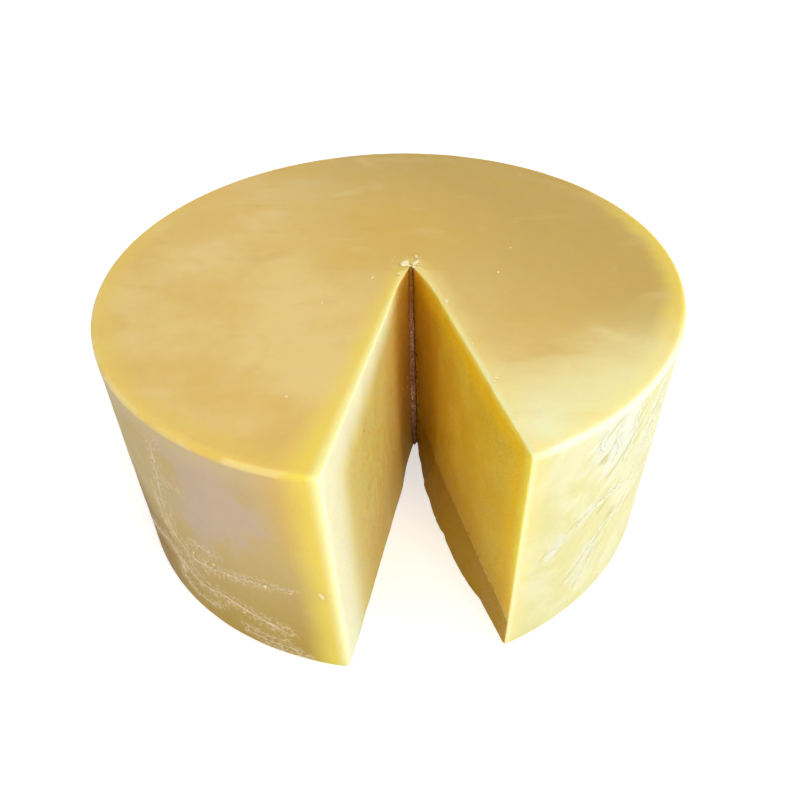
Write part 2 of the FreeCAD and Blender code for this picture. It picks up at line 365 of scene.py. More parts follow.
wax_lines = [
    ([(-38.6, 116), (-39.2, 106), (-38.8, 97), (-40.2, 86), (-41, 75)], 1.8, 0.30),
    ([(-41, 75), (-45, 78.4), (-49.4, 79), (-53, 77), (-57, 72.6)], 2.4, 0.30),
    ([(-40, 57), (-45.6, 58.4), (-50, 51.6), (-52.6, 40.4), (-55.6, 33)], 2.2, 0.28),
    ([(-36, 126), (-35.4, 116), (-35.6, 104), (-37.6, 95)], 1.7, 0.28),
    ([(-43.6, 129), (-45.2, 121), (-44, 112), (-45.8, 103), (-46.4, 97)], 2.6, 0.24),
    ([(-49.4, 128), (-50.4, 119), (-48.8, 111), (-50.2, 104)], 2.8, 0.20),
    ([(-53.6, 128), (-54.6, 121), (-52.8, 115)], 2.4, 0.18),
    ([(-48.4, 45), (-50.4, 33), (-53.4, 20)], 1.8, 0.20),
    ([(-57.6, 72), (-60.2, 66), (-62.4, 62)], 1.6, 0.16),
    ([(-33.6, 122), (-33.2, 104), (-34.4, 84), (-35.6, 66)], 1.6, 0.24),
    ([(-10, 86), (-16, 72), (-20, 60), (-28, 48)], 1.6, 0.16),
    ([(22, 104), (14, 96), (8, 84), (-2, 76)], 1.4, 0.14),
    ([(58, 60), (48, 50), (40, 46), (30, 34)], 1.4, 0.14),
]


def through(path, count):
    """A smooth line through given points, as count points along it."""
    ends = [2 * np.array(path[0]) - np.array(path[1])]
    knots = ends + [np.array(knot, dtype=float) for knot in path]
    knots.append(2 * knots[-1] - knots[-2])
    line = []
    for step in range(count):
        where = (len(path) - 1) * step / (count - 1)
        first = min(int(where), len(path) - 2)
        t = where - first
        a, b, c, d = knots[first:first + 4]
        line.append(0.5 * (2 * b + (c - a) * t + (2 * a - 5 * b + 4 * c - d) * t ** 2
                           + (3 * b - a - 3 * c + d) * t ** 3))
    return line


last_turn = 85
mark_margin = 12


def rubbed(lines, reach):
    """How near each wall point lies to the marks: 1 on a line, fading to 0 a few reaches away.

    Turns run back from the last turn, so that no line crosses the place where they start anew.
    """
    turns = np.degrees(np.arctan2(wall_points[:, 1], wall_points[:, 0]))
    turns = np.where(turns > last_turn, turns - 360, turns)
    lies = np.stack([np.radians(turns) * mean_radius * 1000, wall_points[:, 2] * 1000], 1)
    mark = np.zeros(len(wall_points))
    for path, width, _ in lines:
        line = np.array(through(path, 12 * len(path)))
        line[:, 0] = np.radians(line[:, 0]) * mean_radius * 1000
        lows, highs = line.min(0) - mark_margin, line.max(0) + mark_margin
        near = np.flatnonzero(((lies > lows) & (lies < highs)).all(1))
        gaps = np.linalg.norm(lies[near][:, None, :] - line[None, :, :], axis=2).min(1)
        mark[near] = np.maximum(mark[near], np.exp(-(gaps / (reach * width)) ** 2))
    return np.concatenate([mark, np.zeros(len(points) - len(wall_points))])


# Where the cut faces, the edges and the marks lie, kept on the mesh for its finish.
rim_fade = np.ones(len(wall))
rim_fade[:rim_steps] = 0.3
rim_fade[-rim_steps:] = np.linspace(0.9, 0.0, rim_steps)
plan_x, plan_y, plan_z = points[:, 0], points[:, 1], points[:, 2]
left_side = (face_across("left", -plan_y, plan_z) - plan_x) / math.hypot(1, left_slope)
right_side = (plan_x - face_across("right", -plan_y, plan_z)) / math.hypot(1, right_slope)
tip_away = np.hypot(plan_x - tip_top[0], plan_y - tip_top[1])
behind_tip = plan_y > tip_top[1]
gap_middle = 0.0118
on_left = plan_x < gap_middle
layers = {
    "cut": np.concatenate([((1 - on_rind)[None, :] * rim_fade[:, None]).ravel(),
                           np.zeros(len(top_inside) + len(base_inside))]),
    "left_edge": np.where(behind_tip, tip_away, np.where(on_left, np.abs(left_side), 1)),
    "right_edge": np.where(behind_tip, tip_away, np.where(on_left, 1, np.abs(right_side))),
    "rind_depth": rind_radius(np.arctan2(plan_y, plan_x)) - np.hypot(plan_x, plan_y),
    "scuffed": rubbed(scuff_lines, 3.2),
    "wrinkled": rubbed(wax_lines, 2.2),
}
for name, values in layers.items():
    keep_layer(wheel, name, values)


def paint(red, green, blue):
    """A colour as a painter would mix it, 0 to 255 a channel, for a shader's socket."""
    channels = [channel / 255 for channel in (red, green, blue)]
    linear = [c / 12.92 if c <= 0.04045 else ((c + 0.055) / 1.055) ** 2.4 for c in channels]
    return (*linear, 1.0)


class Finish:
    """A material's node tree, with short ways to add and join its nodes."""

    def __init__(self, name):
        self.material = bpy.data.materials.new(name)
        self.material.use_nodes = True
        self.tree = self.material.node_tree
        self.shader = self.tree.nodes["Principled BSDF"]

    def add(self, kind, **settings):
        node = self.tree.nodes.new(kind)
        for name, value in settings.items():
            setattr(node, name, value)
        return node

    def put(self, socket, value):
        if isinstance(value, bpy.types.NodeSocket):
            self.tree.links.new(value, socket)
        else:
            socket.default_value = value

    def place(self):
        """Where a point lies on the object, in metres."""
        return self.add("ShaderNodeTexCoord").outputs["Object"]

    def layer(self, name):
        return self.add("ShaderNodeAttribute", attribute_name=name).outputs["Fac"]

    def stretch(self, place, scale, turn=(0, 0, 0)):
        node = self.add("ShaderNodeMapping")
        self.put(node.inputs["Vector"], place)
        node.inputs["Scale"].default_value = scale
        node.inputs["Rotation"].default_value = turn
        return node.outputs[0]

    def noise(self, place, size, detail=4, rough=0.55, bend=0.0):
        """Cloudy noise whose blotches are about as large as size, in metres."""
        node = self.add("ShaderNodeTexNoise")
        self.put(node.inputs["Vector"], place)
        node.inputs["Scale"].default_value = 1 / size
        node.inputs["Detail"].default_value = detail
        node.inputs["Roughness"].default_value = rough
        node.inputs["Distortion"].default_value = bend
        return node.outputs["Fac"]

    def specks(self, place, spacing, size, share):
        """Sparse round specks: spacing apart, of a size, in only a share of the places."""
        node = self.add("ShaderNodeTexVoronoi")
        self.put(node.inputs["Vector"], place)
        node.inputs["Scale"].default_value = 1 / spacing
        near = self.ramp(node.outputs["Distance"], size / spacing, size / spacing * 0.4)
        pick = self.add("ShaderNodeSeparateColor")
        self.put(pick.inputs[0], node.outputs["Color"])
        chosen = self.ramp(pick.outputs[0], 1 - share, 1 - share + 0.01)
        return self.math("MULTIPLY", near, chosen)

    def ramp(self, value, start, end, low=0.0, high=1.0):
        """Goes smoothly from low to high as value goes from start to end."""
        node = self.add("ShaderNodeMapRange", interpolation_type="SMOOTHSTEP")
        self.put(node.inputs["Value"], value)
        for name, number in (("From Min", start), ("From Max", end), ("To Min", low), ("To Max", high)):
            node.inputs[name].default_value = number
        return node.outputs["Result"]

    def math(self, kind, first, second=0.0):
        node = self.add("ShaderNodeMath", operation=kind)
        self.put(node.inputs[0], first)
        self.put(node.inputs[1], second)
        return node.outputs[0]

    def times(self, first, second):
        return self.math("MULTIPLY", first, second)

    def plus(self, first, second):
        return self.math("ADD", first, second)

    def less(self, first, second):
        return self.math("SUBTRACT", first, second)

    def nudge(self, value, other, share):
        """A value moved on by a share of another one."""
        return self.plus(value, self.times(other, share))

    def wander(self, cloud, reach):
        """A cloudy noise as a shift to either side, over a reach in all."""
        return self.times(self.less(cloud, 0.5), reach)

    def away(self, place, spot):
        """How far a point lies from a spot."""
        return self.spaced("DISTANCE", place, spot)

    def along(self, place, heading):
        """How far a point lies along a heading."""
        return self.spaced("DOT_PRODUCT", place, heading)

    def spaced(self, kind, place, other):
        node = self.add("ShaderNodeVectorMath", operation=kind)
        self.put(node.inputs[0], place)
        node.inputs[1].default_value = other
        return node.outputs["Value"]

    def blend(self, share, first, second):
        node = self.add("ShaderNodeMix", data_type="RGBA")
        self.put(node.inputs["Factor"], share)
        self.put(node.inputs["A"], first)
        self.put(node.inputs["B"], second)
        return node.outputs["Result"]

    def coat(self, under, share, colour):
        """Lays a colour over what is under it, where and as thickly as share says."""
        return self.blend(share, under, paint(*colour))

    def colour(self, colour):
        self.put(self.shader.inputs["Base Color"], colour)

    def bump(self, height, depth):
        """Fine relief of the surface, depth in metres."""
        node = self.add("ShaderNodeBump")
        node.inputs["Distance"].default_value = depth
        self.put(node.inputs["Height"], height)
        self.put(self.shader.inputs["Normal"], node.outputs["Normal"])

    def set(self, name, number):
        self.shader.inputs[name].default_value = number


def cheese_finish():
    """The cheese's finish: rind on top and sides, paste on the cut, each lit through, with painted light
    and shade in its colour.
    """
    finish = Finish("cheese")
    place = finish.place()
    cut = finish.layer("cut")
    scuffed = finish.layer("scuffed")
    wrinkled = finish.layer("wrinkled")
    left_edge = finish.layer("left_edge")
    right_edge = finish.layer("right_edge")
    depth = finish.layer("rind_depth")
    spot = finish.add("ShaderNodeSeparateXYZ")
    finish.put(spot.inputs[0], place)
    across, back, up = spot.outputs
    below_top = finish.less(wheel_height, up)

    # The top: tan gold, cloudy, with painted shade darkening it towards the back right and painted
    # light paling it towards the front right, with smears, a gold band inside the rim and a painted
    # highlight as a thin pale line on the rim itself.
    clouds = finish.noise(place, 0.07, detail=4, rough=0.6)
    smears = finish.noise(finish.stretch(place, (0.8, 1.6, 1)), 0.034, detail=3, rough=0.55, bend=0.4)
    top = finish.blend(finish.ramp(clouds, 0.35, 0.65), paint(228, 192, 108), paint(235, 207, 134))
    # Painted shade: the top is darker towards the back right.
    painted_shade_way = finish.plus(finish.times(across, 0.75), finish.times(back, 0.55))
    painted_shade_way = finish.nudge(painted_shade_way, clouds, 0.05)
    top = finish.coat(top, finish.ramp(painted_shade_way, -0.02, 0.125), (203, 170, 88))
    off_middle = finish.away(place, (0.000, 0.045, wheel_height))
    top = finish.coat(top, finish.ramp(off_middle, 0.085, 0.01, 0, 0.55), (220, 180, 80))
    # Painted light: the top is paler towards the front right.
    painted_light_way = finish.less(finish.times(across, 0.35), finish.times(back, 0.94))
    painted_light_way = finish.nudge(painted_light_way, smears, 0.04)
    lit_right_top = finish.ramp(across, 0.0, 0.05)
    painted_light_top = finish.times(finish.ramp(painted_light_way, 0.085, 0.165), lit_right_top)
    top = finish.coat(top, painted_light_top, (247, 238, 178))
    top = finish.coat(top, finish.ramp(smears, 0.55, 0.78, 0, 0.3), (236, 216, 150))
    top = finish.coat(top, finish.ramp(smears, 0.43, 0.28, 0, 0.25), (212, 172, 84))
    # Painted light: the top is palest by its corner at the right cut.
    off_lit_corner = finish.away(place, (0.052, -0.136, wheel_height))
    off_lit_corner = finish.nudge(off_lit_corner, smears, -0.012)
    top = finish.coat(top, finish.ramp(off_lit_corner, 0.034, 0.002, 0, 0.9), (247, 246, 206))
    # Painted light on the right of the top: the gold band is brighter there, and the band and the rim
    # are paler on the front right.
    lit_front_right = finish.times(lit_right_top, finish.ramp(back, -0.035, -0.085))
    ragged = finish.wander(smears, 0.014)
    gold_rim = finish.ramp(finish.plus(depth, ragged), 0.016, 0.005, 0, 0.65)
    gold_rim = finish.times(gold_rim, finish.ramp(back, 0.11, 0.03))
    gold = finish.blend(lit_right_top, paint(234, 202, 100), paint(244, 222, 96))
    gold = finish.coat(gold, lit_front_right, (246, 235, 160))
    top = finish.blend(gold_rim, top, gold)
    # Painted highlight: a thin pale line along the rim, broken by the smears.
    rim_highlight = finish.ramp(depth, 0.0024, 0.0010)
    rim_highlight = finish.times(rim_highlight, finish.ramp(smears, 0.42, 0.56, 0.0, 0.5))
    top = finish.coat(top, rim_highlight, (243, 228, 168))
    # Painted highlight: a whiter line along the rim on the front right.
    front_rim_highlight = finish.times(finish.ramp(depth, 0.0030, 0.0012, 0, 0.95), lit_front_right)
    top = finish.coat(top, front_rim_highlight, (234, 233, 210))

    # The side: tan, browner and more olive low down, with a greyish pink bloom high on the left,
    # and a coat of wax all round the right, painted pale cream there as painted light on the lit side.
    bloom = finish.noise(place, 0.035, detail=5, rough=0.66, bend=0.5)
    dust = finish.noise(place, 0.0016, detail=3, rough=0.75)
    side = finish.blend(finish.ramp(up, 0.0, 0.085), paint(184, 152, 66), paint(206, 179, 117))
    side = finish.coat(side, finish.ramp(bloom, 0.54, 0.70, 0, 0.5), (196, 162, 84))
    off_pink = finish.away(finish.stretch(place, (1, 1, 0.8)), (-0.077, -0.128, 0.084))
    off_pink = finish.nudge(off_pink, bloom, -0.11)
    side = finish.coat(side, finish.ramp(off_pink, -0.020, -0.044, 0, 0.8), (206, 182, 158))
    # A darker patch low on the far left of the side.
    off_dark_patch = finish.nudge(finish.away(place, (-0.138, -0.070, 0.026)), bloom, -0.05)
    side = finish.coat(side, finish.ramp(off_dark_patch, 0.034, -0.004, 0, 0.95), (156, 116, 44))
    under_rim = finish.nudge(below_top, bloom, -0.008)
    side = finish.coat(side, finish.ramp(under_rim, 0.014, 0.002, 0, 0.6), (216, 192, 150))
    # Painted glow: the side turns gold high up beside the left cut, where light comes through the
    # corner.
    corner_glow = finish.ramp(left_edge, 0.036, 0.010, 0, 0.8)
    corner_glow = finish.times(corner_glow, finish.ramp(up, 0.045, 0.115))
    side = finish.coat(side, corner_glow, (230, 190, 98))
    # Where whey was dragged and dried, the rind is crazed with fine pale lines.
    cracks_per_metre, crack_bend = 310, 0.0036
    shifted = finish.add("ShaderNodeTexNoise")
    finish.put(shifted.inputs["Vector"], place)
    shifted.inputs["Scale"].default_value = 220
    bent = finish.add("ShaderNodeVectorMath", operation="MULTIPLY_ADD")
    finish.put(bent.inputs[0], shifted.outputs["Color"])
    bent.inputs[1].default_value = (crack_bend, crack_bend, crack_bend)
    finish.put(bent.inputs[2], finish.stretch(place, (1, 1, 0.7)))
    crazing = finish.add("ShaderNodeTexVoronoi", feature="DISTANCE_TO_EDGE")
    finish.put(crazing.inputs["Vector"], bent.outputs[0])
    crazing.inputs["Scale"].default_value = cracks_per_metre
    crazed = finish.ramp(crazing.outputs["Distance"], 0.20, 0.02)
    crazed = finish.times(crazed, finish.ramp(dust, 0.36, 0.58))
    crust = finish.plus(finish.times(crazed, 0.8), finish.ramp(dust, 0.5, 0.7, 0, 0.35))
    crust = finish.times(crust, finish.ramp(scuffed, 0.06, 0.75))
    side = finish.coat(side, crust, (228, 204, 156))
    # The wax lies in long narrow folds that slant down to the right, milky where it has lifted, with
    # a painted highlight on the right front and painted shade in the hollows beside the folds.
    lit_wax = finish.blend(finish.ramp(bloom, 0.42, 0.62), paint(219, 213, 152), paint(226, 222, 178))
    fold_place = finish.add("ShaderNodeCombineXYZ")
    finish.put(fold_place.inputs[0], finish.along(place, (-0.13, -0.12, -0.17)))
    finish.put(fold_place.inputs[1], finish.along(place, (0.53, 0.44, -0.72)))
    folds = finish.noise(fold_place.outputs[0], 0.0045, detail=4, rough=0.55, bend=0.5)
    # Painted highlight: a milky patch on the right front, where the lamps fall fullest.
    off_lamp_highlight = finish.away(finish.stretch(place, (1, 1, 0.6)), (0.096, -0.114, 0.0732))
    lamp_highlight = finish.ramp(finish.nudge(off_lamp_highlight, folds, -0.034), 0.006, -0.010)
    lifted = finish.times(finish.ramp(folds, 0.50, 0.64), finish.ramp(wrinkled, 0.05, 0.6))
    lit_wax = finish.coat(lit_wax, finish.math("MAXIMUM", lamp_highlight, lifted), (226, 227, 204))
    # Painted shade in the hollows beside the wax folds, on the front.
    fold_shade = finish.times(finish.ramp(folds, 0.46, 0.34), finish.ramp(wrinkled, 0.02, 0.3))
    fold_shade = finish.times(fold_shade, finish.ramp(back, -0.045, -0.075, 0.1, 0.6))
    lit_wax = finish.coat(lit_wax, fold_shade, (196, 180, 108))
    # Painted light: the whole right side is painted paler than the left, where the lamps fall on it.
    side = finish.blend(finish.ramp(across, 0.0, 0.04), side, lit_wax)

    # The cut: straw gold, with painted shade making it darker towards the core, flecked with pale
    # grains of the paste.
    paste = finish.noise(place, 0.028, detail=3, rough=0.62)
    drawn_down = finish.stretch(place, (1, 1, 0.4), (0.3, 0, 0))
    drag = finish.noise(drawn_down, 0.0035, detail=4, rough=0.75, bend=0.8)
    curds = finish.noise(finish.stretch(place, (1, 1, 0.6)), 0.009, detail=5, rough=0.75, bend=1.6)
    # The right face, in the shade, is painted darker and more amber than the left face as painted
    # shade. It has an amber band under the rind and the top, partly the rind's own colour and partly
    # painted glow, and an olive foot below the crease, which shows as a broken pale line of painted
    # highlight.
    right_face = finish.blend(finish.ramp(paste, 0.38, 0.66), paint(226, 188, 56), paint(233, 200, 76))
    # Painted shade: darker deeper in, towards the core.
    right_face = finish.coat(right_face, finish.ramp(depth, 0.075, 0.13), (228, 178, 40))
    right_face = finish.coat(right_face, finish.ramp(drag, 0.58, 0.75, 0, 0.3), (244, 224, 136))
    # The amber band: partly the rind's own colour, partly painted glow; right at the rind and the top it
    # turns to a painted yellow glow.
    shallow_right = finish.math("MINIMUM", depth, finish.times(below_top, 1.3))
    shallow_right = finish.plus(shallow_right, finish.wander(paste, 0.010))
    amber_and_glow = finish.ramp(shallow_right, 0.026, 0.006, 0, 0.9)
    right_face = finish.coat(right_face, amber_and_glow, (250, 204, 30))
    right_face = finish.coat(right_face, finish.ramp(depth, 0.010, 0.0025), (255, 224, 84))
    right_face = finish.coat(right_face, finish.ramp(below_top, 0.006, 0.001, 0, 0.8), (246, 220, 104))
    crease_way = finish.nudge(finish.less(up, crease_height), paste, 0.004)
    right_face = finish.coat(right_face, finish.ramp(up, 0.070, 0.022, 0, 0.5), (196, 150, 20))
    right_face = finish.coat(right_face, finish.ramp(crease_way, 0.006, -0.001, 0, 0.6), (152, 110, 0))
    # Painted shade deep in the gap, by the core.
    core_shade_right = finish.ramp(finish.nudge(depth, drag, 0.006), 0.126, 0.143, 0, 0.8)
    right_face = finish.coat(right_face, core_shade_right, (220, 158, 14))
    # Painted highlight: a broken pale line along the crease.
    crease_highlight = finish.math("ABSOLUTE", finish.less(crease_way, 0.002))
    crease_highlight = finish.times(finish.ramp(crease_highlight, 0.0009, 0.0003), finish.ramp(drag, 0.4, 0.6))
    crease_highlight = finish.times(crease_highlight, finish.ramp(depth, 0.10, 0.06, 0, 0.8))
    right_face = finish.coat(right_face, crease_highlight, (250, 232, 160))
    # The left face, facing the lamp, is painted paler than the right as painted light: cream white
    # under the rind and the top, then straw, as painted light where the lamp reaches, then tan with
    # white curds, darker low down as painted shadow, and a few small holes, painted dark for the shade
    # in them.
    wander = finish.wander(curds, 0.012)
    left_depth = finish.plus(depth, wander)
    shallow_left = finish.plus(finish.plus(below_top, wander), finish.times(depth, 0.17))
    left_face = finish.blend(finish.ramp(curds, 0.34, 0.58), paint(250, 214, 112), paint(254, 232, 142))
    # Painted shade: darker deeper in, and darkest by the core.
    left_face = finish.coat(left_face, finish.ramp(depth, 0.08, 0.135), (244, 206, 104))
    core_shade_left = finish.ramp(finish.nudge(depth, drag, 0.006), 0.112, 0.143, 0, 0.85)
    left_face = finish.coat(left_face, core_shade_left, (190, 134, 22))
    low_curds = finish.times(finish.ramp(curds, 0.54, 0.68), finish.ramp(up, 0.095, 0.06))
    left_face = finish.coat(left_face, finish.times(low_curds, 0.55), (249, 236, 184))
    # Painted shadow: darker low down, where the right half of the wheel shades the face.
    left_face = finish.coat(left_face, finish.ramp(up, 0.060, 0.010, 0, 0.5), (226, 192, 88))
    # Painted light: a lit strip under the rind and the top, straw and then cream white.
    off_core = finish.ramp(depth, 0.139, 0.100)
    lit_straw = finish.math(
        "MAXIMUM", finish.ramp(left_depth, 0.062, 0.026), finish.ramp(shallow_left, 0.052, 0.020))
    left_face = finish.coat(left_face, finish.times(lit_straw, off_core), (247, 230, 146))
    lit_cream = finish.math(
        "MAXIMUM", finish.ramp(left_depth, 0.036, 0.014), finish.ramp(shallow_left, 0.036, 0.014))
    left_face = finish.coat(left_face, finish.times(lit_cream, off_core), (245, 245, 206))
    # The small holes are painted as dark specks, for the shade in them.
    shaded_holes = finish.specks(place, 0.013, 0.0008, 0.10)
    left_face = finish.coat(left_face, shaded_holes, (120, 84, 30))
    inside = finish.blend(finish.ramp(across, 0.0114, 0.0124), left_face, right_face)
    flecks = finish.specks(place, 0.0035, 0.00045, 0.35)
    inside = finish.coat(inside, finish.times(flecks, 0.6), (252, 240, 190))

    # Painted light at the cut edges: the rind is painted with a yellow glow beside them, as if light
    # soaked in, and a pale line of painted highlight on the edge itself.
    is_top = finish.ramp(up, wheel_height - 0.0042, wheel_height - 0.0020)
    colour = finish.blend(is_top, side, top)
    glow_reach = finish.nudge(left_edge, depth, 0.055)
    glow_reach = finish.plus(glow_reach, finish.wander(clouds, 0.012))
    colour = finish.coat(colour, finish.ramp(glow_reach, 0.021, 0.004, 0, 0.88), (242, 220, 94))
    colour = finish.coat(colour, finish.ramp(right_edge, 0.014, 0.001, 0, 0.5), (243, 226, 142))
    # Painted highlight along the right edge.
    right_edge_highlight = finish.blend(finish.ramp(depth, 0.13, 0.04), paint(242, 222, 140), paint(240, 234, 180))
    colour = finish.blend(finish.ramp(right_edge, 0.0040, 0.0010, 0, 0.75), colour, right_edge_highlight)
    # Painted highlight along the left edge.
    left_edge_highlight = finish.ramp(finish.nudge(left_edge, depth, 0.02), 0.0066, 0.0010, 0, 0.8)
    colour = finish.coat(colour, left_edge_highlight, (242, 238, 180))
    colour = finish.blend(finish.ramp(cut, 0.35, 0.8), colour, inside)
    finish.colour(colour)

    # The surface: a soft press-cloth unevenness, with a fine grain that is rougher on the cut.
    fine = finish.noise(place, 0.0012, detail=2, rough=0.6)
    soft = finish.noise(place, 0.012, detail=3, rough=0.6)
    height = finish.plus(finish.times(fine, 0.22), soft)
    height = finish.nudge(height, finish.times(fine, cut), 0.5)
    finish.bump(height, 0.0007)
    finish.put(finish.shader.inputs["Roughness"], finish.ramp(soft, 0.3, 0.7, 0.34, 0.52))
    finish.set("Subsurface Weight", 1.0)
    finish.set("Subsurface Radius", (1.0, 0.78, 0.30))
    finish.set("Subsurface Scale", 0.006)
    finish.set("IOR", 1.42)
    finish.set("Specular IOR Level", 0.28)
    return finish.material


wheel.data.materials.append(cheese_finish())
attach(wheel, "root")
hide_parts("cheese_wheel")


# The torn core: where the two cuts met, the wedge broke off instead of being sliced. The same
# paste shows its grain there, in crumbly lumps down a narrow strip, with painted shade darkest in
# the seam. The strip reaches a hair behind both cut faces, so that no gap shows at its sides.

torn_rows, torn_columns = 300, 26
torn_foot, torn_end_gaps = 0.0005, 0.0011
torn_tuck, torn_thickness = 0.0006, 0.0014
lump_size, bump_size = 1.7, 4.5
lump_rise, lump_sink, left_rise = 0.0020, 0.0006, 0.0010
seam_place, seam_width, seam_depth = 0.78, 0.12, 0.0022

share = np.linspace(0, 1, torn_columns)
front = np.zeros((torn_rows, torn_columns, 3))
for row in range(torn_rows):
    height = torn_foot + (wheel_height - torn_end_gaps) * row / (torn_rows - 1)
    ring = ring_at(height)
    left_end, right_end = ring[tip_first] - [torn_tuck, 0], ring[right_first] + [torn_tuck, 0]
    front[row, :, :2] = left_end + (right_end - left_end) * share[:, None]
    front[row, :, 2] = height
lumps = np.zeros((torn_rows, torn_columns))
for row in range(torn_rows):
    for column in range(torn_columns):
        spot = Vector(front[row, column]) * 1000
        near, next_near = noise.voronoi(spot / lump_size)[0][:2]
        crumb = min(1.0, (next_near - near) * 1.8)
        lumps[row, column] = 0.55 * crumb + 0.45 * (0.5 + 0.5 * noise.noise(spot / bump_size))
share = share[None, :]
edge_fade = np.clip(np.minimum(share, 1 - share) * 6, 0, 1)
seam = np.exp(-((share - seam_place) / seam_width) ** 2)
standing = (lump_rise * lumps - lump_sink) * edge_fade - seam_depth * seam
standing += left_rise * (1 - share) * edge_fade
front[:, :, 1] -= standing
back = front.copy()
back[:, :, 1] = front[:, :, 1].max() + torn_thickness
torn_points = np.concatenate([front.reshape(-1, 3), back.reshape(-1, 3)])
behind = torn_rows * torn_columns
torn_faces = []
for row in range(torn_rows - 1):
    for column in range(torn_columns - 1):
        here = row * torn_columns + column
        quad = (here, here + 1, here + 1 + torn_columns, here + torn_columns)
        torn_faces.append(quad)
        torn_faces.append(tuple(behind + number for number in reversed(quad)))
loop = list(range(torn_columns))
loop += [row * torn_columns + torn_columns - 1 for row in range(1, torn_rows)]
loop += [(torn_rows - 1) * torn_columns + column for column in range(torn_columns - 2, -1, -1)]
loop += [row * torn_columns for row in range(torn_rows - 2, 0, -1)]
for step, here in enumerate(loop):
    after = loop[(step + 1) % len(loop)]
    torn_faces.append((after, here, here + behind, after + behind))
torn_core = new_piece("torn_core", torn_points, torn_faces, True)
keep_layer(torn_core, "lump", np.tile(lumps.ravel(), 2))
keep_layer(torn_core, "towards_seam", np.tile(share[0], 2 * torn_rows))


def torn_finish():
    """Broken paste: tan lumps with pale curds, painted shade between the lumps, in the seam and at the
    foot, golden at the sides.
    """
    finish = Finish("torn_paste")
    place = finish.place()
    up = finish.along(place, (0, 0, 1))
    lump = finish.layer("lump")
    towards_seam = finish.layer("towards_seam")
    shade = finish.noise(place, 0.003, detail=5, rough=0.65)
    # Painted shade: the hollows between the lumps are darker.
    colour = finish.blend(finish.ramp(lump, 0.2, 0.7), paint(150, 92, 50), paint(212, 158, 120))
    colour = finish.coat(colour, finish.ramp(shade, 0.52, 0.66, 0, 0.8), (240, 204, 172))
    wander = finish.wander(shade, 1.1)
    seam = finish.ramp(finish.plus(towards_seam, wander), 0.52, 0.74)
    # Painted shade in the seam.
    colour = finish.coat(colour, seam, (112, 48, 14))
    off_middle = finish.math("ABSOLUTE", finish.less(towards_seam, 0.45))
    off_middle = finish.plus(off_middle, wander)
    colour = finish.coat(colour, finish.ramp(off_middle, 0.26, 0.44), (182, 124, 22))
    smooth_top = finish.nudge(up, wander, 0.04)
    colour = finish.coat(colour, finish.ramp(smooth_top, 0.098, 0.120), (160, 100, 18))
    # Painted shade at the foot, deep in the gap.
    colour = finish.coat(colour, finish.ramp(up, 0.046, 0.005, 0, 0.75), (110, 62, 12))
    finish.colour(colour)
    finish.bump(finish.noise(place, 0.0008, detail=5, rough=0.7), 0.0005)
    finish.set("Roughness", 0.6)
    return finish.material


torn_core.data.materials.append(torn_finish())
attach(torn_core, "root")


# The crumbs: dry bits of paste that fell from the knife and lie on the top by the cuts.
# Each is a small broken lump, pale and matt, sunk a hair into the wheel so that it rests there.

crumb_places = [
    # place across and back, then width, length and height, all in mm
    (7.0, 4.7, 4.2, 5.6, 2.4), (9.0, 3.0, 1.5, 1.8, 1.0), (12.0, 4.9, 2.6, 3.2, 1.2),
    (13.5, 12.0, 1.6, 3.0, 0.8), (13.6, 6.9, 2.0, 4.6, 1.0), (11.9, 1.5, 1.7, 2.4, 1.0),
    (14.2, 3.6, 1.2, 1.6, 0.7), (3.9, -4.7, 1.7, 2.4, 0.9), (5.4, -2.4, 1.0, 1.8, 0.6),
    (6.2, -6.4, 1.1, 1.7, 0.6), (3.6, -8.6, 0.8, 1.5, 0.5), (-9.7, -8.1, 1.3, 1.9, 0.7),
    (20.9, -20.4, 1.2, 3.2, 0.9), (26.6, -31.0, 1.7, 2.6, 1.0), (55.0, -5.5, 1.5, 2.0, 0.9),
    (64.8, 19.7, 0.9, 1.3, 0.5), (-45.0, -100.3, 1.6, 1.2, 0.7), (-34.3, -30.2, 0.9, 1.2, 0.4),
    (42.9, -93.0, 1.6, 1.2, 0.5), (44.4, -90.5, 2.4, 0.8, 0.4), (36.0, -66.0, 0.9, 1.3, 0.5),
]


def crumb_shape(dice):
    """A rough ball with flats and dents, as points and faces about a unit across."""
    ring_count, around = 9, 14
    shape = []
    offset = Vector([dice.uniform(0, 50) for _ in range(3)])
    for ring in range(1, ring_count):
        polar = math.pi * ring / ring_count
        for step in range(around):
            turn = 2 * math.pi * step / around
            way = Vector((math.sin(polar) * math.cos(turn), math.sin(polar) * math.sin(turn),
                          math.cos(polar)))
            swell = 0.5 + 0.16 * noise.noise(way * 1.3 + offset)
            swell += 0.10 * noise.noise(way * 3.1 + offset)
            shape.append(way * swell)
    faces = []
    for ring in range(ring_count - 2):
        for step in range(around):
            after = (step + 1) % around
            faces.append((ring * around + step, (ring + 1) * around + step,
                          (ring + 1) * around + after, ring * around + after))
    faces.append(tuple(range(around)))
    faces.append(tuple(reversed(range((ring_count - 2) * around, (ring_count - 1) * around))))
    return shape, faces


def joined_lumps(name, lumps, seed):
    """One mesh of many rough lumps, each with a middle, a size on three sides and its turn."""
    dice = random.Random(seed)
    points, faces = [], []
    for middle, size, spin in lumps:
        shape, shape_faces = crumb_shape(dice)
        start = len(points)
        for point in shape:
            scaled = Vector((point.x * size[0], point.y * size[1], point.z * size[2]))
            points.append(tuple(Vector(middle) + spin @ scaled))
        faces += [tuple(start + number for number in face) for face in shape_faces]
    return new_piece(name, points, faces, False)


